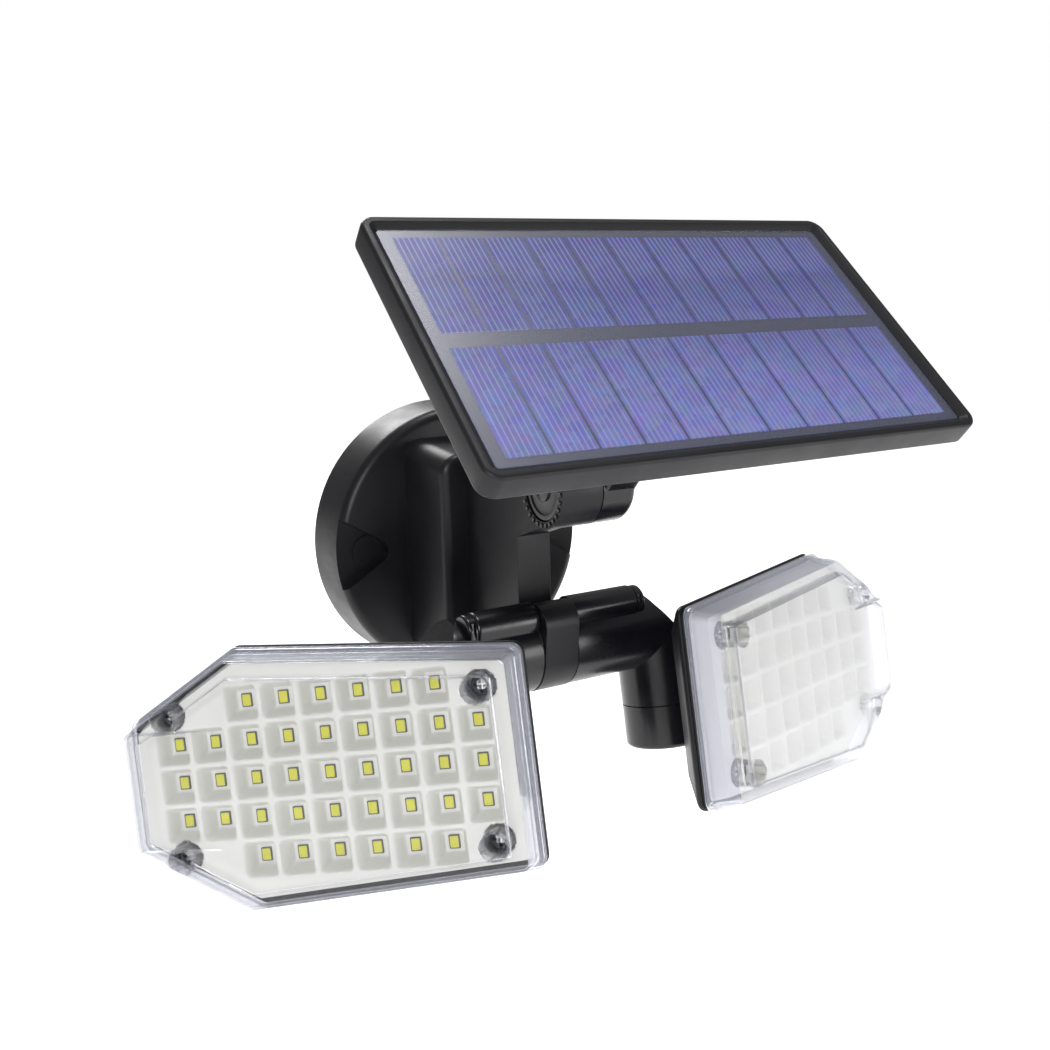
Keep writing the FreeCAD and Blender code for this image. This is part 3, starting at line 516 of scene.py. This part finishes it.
def cup_field(x, z):
    """Depth of the cups: a square pyramid with half straight, half smooth sides about each lamp, its plan
    corners rounded by the power, flat ground between, and round wells at the screws."""
    power, mouth, floor = 12, 4.4, 2.5
    depth = np.zeros_like(x)
    for cx, cz in lamp_places():
        reach = ((np.abs(x - cx) ** power + (np.abs(z - cz) / 1.03) ** power)) ** (1 / power)
        straight = np.clip((mouth - reach) / (mouth - floor), 0, 1)
        soft = 1 - smooth_step(floor - 0.1, mouth + 0.1, reach)
        depth = np.maximum(depth, 0.5 * straight + 0.5 * soft)
    for cx, cz in SCREW_PLACES:
        depth = np.maximum(depth, 1 - smooth_step(3.75, 3.95, np.hypot(x - cx, z - cz)))
    return depth


def reflector(side):
    """White reflector: its face is a grid of x and share of height, lowered by cup_field; a skirt and a back
    close it."""
    low, high = END_IN[0] + REFLECTOR_INSET, END_OUT[0] - REFLECTOR_INSET
    end_run = REFLECTOR_END * (1 - np.cos(np.linspace(0, np.pi / 2, 7)))
    middle = np.linspace(low + REFLECTOR_END, high - REFLECTOR_END, 232)
    x = np.concatenate([low + end_run[:-1], middle, (high - end_run)[::-1][1:]])
    share = np.linspace(-1, 1, 153)
    gx, gs = np.meshgrid(x, share, indexing="ij")
    gz = gs * half_height(gx, REFLECTOR_INSET)
    gy = -REFLECTOR_DEPTH + (REFLECTOR_DEPTH - CUP_FLOOR) * cup_field(gx, gz)
    face = np.stack([gx, gy, gz], -1).reshape(-1, 3)
    quads, rim = grid_faces(*gx.shape)
    rim = rim[np.linalg.norm(face[rim] - face[np.roll(rim, 1)], axis=1) > SAME_POINT]
    outer = moved_in(face[rim][:, [0, 2]], -SKIRT_SPREAD)
    outer[:, 0] = np.clip(outer[:, 0], END_IN[0] + SKIRT_INSET, END_OUT[0] - SKIRT_INSET)
    skirt = np.stack([outer[:, 0], np.full(len(outer), SKIRT_FOOT), outer[:, 1]], 1)
    low_rim = len(face) + np.arange(len(rim))
    quads += np.stack([rim, low_rim, np.roll(low_rim, -1), np.roll(rim, -1)], -1).tolist()
    quads.append(low_rim.tolist())
    points = np.concatenate([face, skirt])
    put(side + "_cup_reflector", [(points, quads, 0)], head_place(side), side + "_head", [white_plastic],
        [side + "_reflector"], crease=50.0)


def plate_rings(half_x, half_z, levels, radius, steps=3):
    """Rounded rectangle at each (inset, depth) of levels."""
    rings = []
    for inset, depth in levels:
        hx, hz = half_x - inset, half_z - inset
        ring = outline_ring([(-hx, -hz), (hx, -hz), (hx, hz), (-hx, hz)], max(radius - inset, 0.05), steps)
        rings.append(np.stack([ring[:, 0], np.full(len(ring), depth), ring[:, 1]], 1))
    return np.array(rings)


def lamps(side):
    """Each lamp is a dark package with a domed yellow face."""
    package = plate_rings(1.4, 1.75, [(0, 0.0), (0, -0.5), (0.12, -0.6)], 0.2, 2)
    dome = plate_rings(1.12, 1.47, [(0, -0.58), (0.05, -0.7), (0.25, -0.8)], 0.25, 2)
    surfaces = []
    for x, z in lamp_places():
        at = np.array([x, 0, z])
        surfaces += [skin(package + at, 0), skin(dome + at, 1)]
    put(side + "_lamps", surfaces, head_place(side), side + "_head", [lamp_package, lamp_yellow],
        [side + "_led_chips"])


SHANK_RADIUS = 1.4
SHANK_END = 5.0


def cover_screws(side):
    """Pan-head screws: a turned head painted dark round its rim as painted shade, round a bright zinc centre,
    its front a polar grid sunk by a cross.
    """
    around = 48
    angle = np.linspace(0, 2 * np.pi, around, endpoint=False)
    radius = np.array([2.8, 2.8, 2.7, 2.4, 2.0, 1.6, 1.3, 1.0, 0.7, 0.4, 0.15])
    depth = np.array([-1.8, -3.0, -3.4, -3.62, -3.7, -3.75, -3.78, -3.8, -3.8, -3.8, -3.8])
    x = radius[:, None] * np.cos(angle)
    z = radius[:, None] * np.sin(angle)
    arm = np.minimum(np.abs(x), np.abs(z))
    cross = (1 - smooth_step(0.25, 0.5, arm)) * (1 - smooth_step(1.5, 1.9, np.hypot(x, z)))
    head = np.stack([x, depth[:, None] + cross, z], -1)
    shank_x, shank_z = SHANK_RADIUS * np.cos(angle), SHANK_RADIUS * np.sin(angle)
    shank = np.stack([np.stack([shank_x, np.full(around, y), shank_z], -1) for y in (SHANK_END, depth[0])])
    rings = np.concatenate([shank, head])
    centre = len(shank) + 6                                  # the ring where the bright zinc centre begins; outside it the head is painted dark as shade
    surfaces = []
    for x, z in SCREW_PLACES:
        moved = rings + np.array([x, 0, z])
        surfaces.append(skin(moved[:centre + 1], 0, ends=(True, False)))
        surfaces.append(skin(moved[centre:], 1, ends=(False, True)))
    put(side + "_lamp_screws", surfaces, head_place(side), side + "_head", [zinc_painted_shade, zinc],
        [side + "_cover_screws"])


TEETH = 28
TEETH_RADIUS = 9.45


def hinge_teeth():
    """Round centre and a ring of small square teeth on the barrel's left face, each tooth a rounded block."""
    low, high = (np.array(corner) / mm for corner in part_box("panel_hinge_cap"))
    at = (low + high) / 2
    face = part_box("hinge_bracket")[0][0] / mm
    surfaces = []
    steps = [(0.15, 0.02), (0.15, 3.1), (0.75, 3.1), (0.75, 6.6),
             (0.35, 6.6), (0.35, 8.2), (1.4, 8.2), (1.4, 0.02)]
    disc = rounded([(face + sunk, radius) for sunk, radius in steps], [0.25, 0.1, 0.1, 0.15, 0.3, 0.1], 3)
    rings = turned(disc, 64)
    rings[:, :, 1] += at[1]
    rings[:, :, 2] += at[2]
    surfaces.append(skin(rings))
    block = plate_rings(0.62, 0.52, [(0, 0.2), (0, -0.25), (0.12, -0.38)], 0.2, 2)
    for k in range(TEETH):
        angle = 2 * np.pi * k / TEETH
        c, s = np.cos(angle), np.sin(angle)
        radial = block[:, :, 0] + TEETH_RADIUS
        across = block[:, :, 2]
        y, z = at[1] + radial * c - across * s, at[2] + radial * s + across * c
        surfaces.append(skin(np.stack([face + block[:, :, 1], y, z], -1)))
    put("hinge_face", surfaces, wall_place, "base", [gloss_black], ["panel_hinge_cap"])


def arms():
    """The right arm and its plug with rounded edges; the left ones keep their CAD meshes in that finish."""
    for node_name, name, edge in (("right_arm_tube", "right_arm", 0.25),
                                  ("right_arm_channel_plug", "right_arm_plug", 0.3)):
        finished_copy(node_name, name, "right_arm", gloss_black, edge, 2)
    for node_name in ("left_arm_tube", "left_arm_channel_plug"):
        moulding = frame["nodes"][node_name].data
        for slot_index in range(len(moulding.materials)):
            moulding.materials[slot_index] = gloss_black


HUB_RADIUS = 13.0         # the hub of the arms in the CAD
FLUSH_RADIUS = 12.25      # the same hub as drawn


def mouldings():
    """Wall base, bracket and panel stem with their edges rounded, and the bracket's hub turned down."""
    finished_copy("base_housing", "wall_base", "base", satin_black, 0.5, 3)
    bracket = finished_copy("hinge_bracket", "bracket", "base", satin_black, 0.6, 3)
    _, axis_y, axis_z = joint_at["right_arm_tilt"]
    points = np.empty(3 * len(bracket.data.vertices))
    bracket.data.vertices.foreach_get("co", points)
    across = points.reshape(-1, 3)[:, 1:] - (axis_y, axis_z)
    on_hub = np.abs(np.hypot(*across.T) - HUB_RADIUS * mm) < 0.05 * mm
    across[on_hub] *= FLUSH_RADIUS / HUB_RADIUS
    points.reshape(-1, 3)[:, 1:] = across + (axis_y, axis_z)
    bracket.data.vertices.foreach_set("co", points)
    bracket.data.update()
    finished_copy("panel_stem", "panel_knuckle", "panel", gloss_black, 0.5, 3)


COVER_DEPTH = 9.6
PLATEAU_RISE = 1.9
PLATEAU_INSET = 6.5
COVER_WALL = 0.6
STRIP_HALF = END_OUT[1] - 1.5
FACET_X = 26.0
FACET_DROP = 4.0
FACET_SLOPE = FACET_DROP / (END_OUT[0] - FACET_X)
WELL_RADIUS = 2.9
WELL_FLOOR = -1.9
WELL_STEP = 0.32          # spacing of the grid lines over the wells
LAND_EDGE = 3.1           # the wells stay inside this inset, clear of the outer wall
FLANGE_RINGS = 14         # the last rings of the profile, which take the flange's finish


def cover_depth(x, z, depth, wells=True):
    """Depth of the cover's skin: never proud of a plane that slopes back over the two outboard corners, and
    sunk to one floor inside each screw well."""
    cut = -(COVER_DEPTH + PLATEAU_RISE) + FACET_SLOPE * (x - FACET_X)
    beside = smooth_step(STRIP_HALF, STRIP_HALF + 0.5, np.abs(z))
    y = depth + (np.maximum(depth, cut) - depth) * beside
    for cx, cz in SCREW_PLACES if wells else ():
        sunk = 1 - smooth_step(WELL_RADIUS - 0.1, WELL_RADIUS + 0.3, np.hypot(x - cx, z - cz))
        y = y + np.maximum(WELL_FLOOR - y, 0) * sunk
    return y


def clear_cover_piece(side):
    """Cover: a grid of X and Z lines over the plateau, clipped to its outline, then rings of one profile
    outwards and back down to the flange; cover_depth shapes both, and Solidify gives the wall."""
    inset = PLATEAU_INSET + 0.5
    low, high = END_IN[0] + inset, END_OUT[0] - inset
    corner = END_RADIUS * (1 - np.cos(np.linspace(0, np.pi / 2, 7)))
    dense = [np.arange(cx - 4, cx + 4, WELL_STEP) for cx in {place[0] for place in SCREW_PLACES}]
    x = np.unique(np.round(np.concatenate([low + corner, high - corner, np.linspace(low + 2, high - 2, 60),
                                           [FACET_X, SHOULDER[0]], *dense]), 4))
    x = x[(x >= low) & (x <= high)]
    positive = np.concatenate([np.linspace(0, 13, 10), np.arange(13.4, 24.0, WELL_STEP),
                               np.linspace(24.2, SHOULDER[1], 16), STRIP_HALF + np.array([0, 0.25, 0.5])])
    lines = np.unique(np.round(np.concatenate([-positive, positive]), 4))
    gx, gz = np.meshgrid(x, lines, indexing="ij")
    height = half_height(gx, inset)
    gz = np.clip(gz, -height, height)
    plateau = -(COVER_DEPTH + PLATEAU_RISE)
    top = np.stack([gx, cover_depth(gx, gz, plateau), gz], -1).reshape(-1, 3)
    quads, _ = grid_faces(*gx.shape)
    land = [(step, -COVER_DEPTH) for step in np.arange(PLATEAU_INSET - 0.7, LAND_EDGE, -0.35)]
    profile = rounded([(inset, plateau), (PLATEAU_INSET, plateau), (PLATEAU_INSET - 0.3, -COVER_DEPTH), *land,
                       (2.5, -COVER_DEPTH), (1.3, -1.7), (0.2, -1.7), (0.2, 0.5)],
                      [0.35, 0.25] + [0] * len(land) + [0.7, 0.3, 0.5])
    rings = []
    for distance, depth in profile:
        radius = max(HEAD_CORNER - CORNER_LOSS * distance, END_RADIUS)
        ring = outline_ring(moved_in(HEAD_OUTLINE, distance), radius, 8, 150)
        sunk = cover_depth(ring[:, 0], ring[:, 1], np.full(len(ring), depth), distance > LAND_EDGE)
        rings.append(np.stack([ring[:, 0], sunk, ring[:, 1]], 1))
    outside = skin(rings[:-FLANGE_RINGS][::-1], ends=(False, False))
    flange = skin(rings[-FLANGE_RINGS - 1:][::-1], 1, ends=(False, False))
    cover = put(side + "_cover", [(top, quads, 0), outside, flange], head_place(side), side + "_head",
                [clear_cover, clear_flange], [side + "_clear_cover"], crease=50.0,
                closed=False)
    wall = cover.modifiers.new("wall", "SOLIDIFY")
    wall.thickness = COVER_WALL * mm
    wall.offset = -1.0


def lamp_head(side):
    """Every visible piece of one lamp head."""
    head_shell(side)
    reflector(side)
    lamps(side)
    cover_screws(side)
    clear_cover_piece(side)
    finished_copy(side + "_head_knuckle", side + "_neck", side + "_head", gloss_black,
                  0.4, 3)


# ---------------------------------------------------------------- solar panel
PANEL_TOP = 62.3
PANEL_DEPTH = 6.6
PANEL_SHIFT = -4.4


def panel_frame():
    """Frame: one profile of inset and height carried round the panel's rounded rectangle."""
    bottom = PANEL_TOP - PANEL_DEPTH
    shelf = PANEL_TOP - 1.6
    profile = rounded([(2.3, bottom), (0, bottom), (0, PANEL_TOP), (1.9, PANEL_TOP),
                       (PANEL_LIP, PANEL_TOP - 1.25), (PANEL_LIP, shelf), (2.25, shelf), (2.25, bottom + 0.9),
                       (2.3, bottom)], [0.9, 0.9, 0.35, 0.2, 0.05, 0.3, 0.1], 5)[:-1]
    rings = []
    for inset, height in profile:
        hx, hy = PANEL_SIZE[0] / 2 - inset, PANEL_SIZE[1] / 2 - inset
        ring = outline_ring([(-hx, -hy), (hx, -hy), (hx, hy), (-hx, hy)], max(4.0 - inset, 0.8), 10)
        rings.append(np.stack([ring[:, 0], ring[:, 1] + PANEL_SHIFT, np.full(len(ring), height)], 1))
    put("solar_panel_frame", [skin(rings, loop=True)], panel_place, "panel", [frame_black], ["panel_frame"])


# ---------------------------------------------------------------- stage, light and camera
def stage():
    """Floor 120 mm below the object's lowest point."""
    half = 6.0
    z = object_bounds()[0][2] - 0.12
    corners = [(-half, -half, z), (half, -half, z), (half, half, z), (-half, half, z)]
    mesh = bpy.data.meshes.new("floor")
    mesh.from_pydata(corners, [], [(0, 1, 2, 3)])
    floor = bpy.data.objects.new("floor", mesh)
    bpy.context.scene.collection.objects.link(floor)
    pale = finish("pale_floor", (0.9, 0.9, 0.9), 0.8, Emission_Color=(1, 1, 1, 1), Emission_Strength=0.75)
    mesh.materials.append(pale)
    floor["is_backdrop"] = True


def soft_light(name, place, aim, size, power):
    """Round area light aimed at a point."""
    data = bpy.data.lights.new(name, "AREA")
    data.shape = "DISK"
    data.size = size
    data.energy = power
    lamp = bpy.data.objects.new(name, data)
    bpy.context.scene.collection.objects.link(lamp)
    lamp.location = place
    lamp.rotation_euler = (Vector(aim) - Vector(place)).to_track_quat("-Z", "Y").to_euler()


def studio():
    """White surroundings, brighter from above, seen pure white behind the object."""
    world = bpy.data.worlds.new("studio")
    bpy.context.scene.world = world
    world.use_nodes = True
    tree = world.node_tree
    back = tree.nodes["Background"]
    back.inputs["Color"].default_value = (1, 1, 1, 1)
    path = tree.nodes.new("ShaderNodeLightPath")
    direction = tree.nodes.new("ShaderNodeTexCoord")
    parts = tree.nodes.new("ShaderNodeSeparateXYZ")
    tree.links.new(direction.outputs["Generated"], parts.inputs["Vector"])
    sky = tree.nodes.new("ShaderNodeMapRange")
    sky.inputs["From Min"].default_value = 0.1
    sky.inputs["To Min"].default_value = 0.22
    sky.inputs["To Max"].default_value = 0.42
    tree.links.new(parts.outputs["Z"], sky.inputs["Value"])
    mix = tree.nodes.new("ShaderNodeMapRange")
    mix.inputs["To Max"].default_value = 1.0
    tree.links.new(sky.outputs["Result"], mix.inputs["To Min"])
    tree.links.new(path.outputs["Is Camera Ray"], mix.inputs["Value"])
    tree.links.new(mix.outputs["Result"], back.inputs["Strength"])
    aim = (0, -0.07, 0)
    soft_light("key", (-0.9, -1.1, 0.5), aim, 0.5, 9)
    soft_light("top", (0.25, -0.1, 1.3), aim, 0.35, 6)
    soft_light("fill", (0.7, -1.2, 0.1), aim, 0.5, 4)
    soft_light("rim", (0.1, 1.0, 0.8), aim, 0.5, 9)
    bpy.context.scene.view_settings.view_transform = "Standard"


def camera():
    """Camera left of the object and a little above, looking down on it."""
    data = bpy.data.cameras.new("camera")
    lens = bpy.data.objects.new("camera", data)
    bpy.context.scene.collection.objects.link(lens)
    azimuth, height, roll = (math.radians(a) for a in (-30.21, 11.27, -1.41))
    level_share = math.cos(height)
    back = Vector((math.sin(azimuth) * level_share, -math.cos(azimuth) * level_share, math.sin(height)))
    level = Vector((0, 0, 1)).cross(back).normalized()
    across = math.cos(roll) * level + math.sin(roll) * back.cross(level)
    up = back.cross(across)
    lens.matrix_world = Matrix.LocRotScale(Vector((-0.17244, -0.35376, 0.07920)),
                                           Matrix((across, up, back)).transposed(), None)
    data.sensor_width = 36.0
    data.lens = 40.77
    data.clip_start = 0.01
    bpy.context.scene.camera = lens


for side in SIDES:
    lamp_head(side)
panel_frame()
hinge_teeth()
arms()
mouldings()
stage()
studio()
camera()
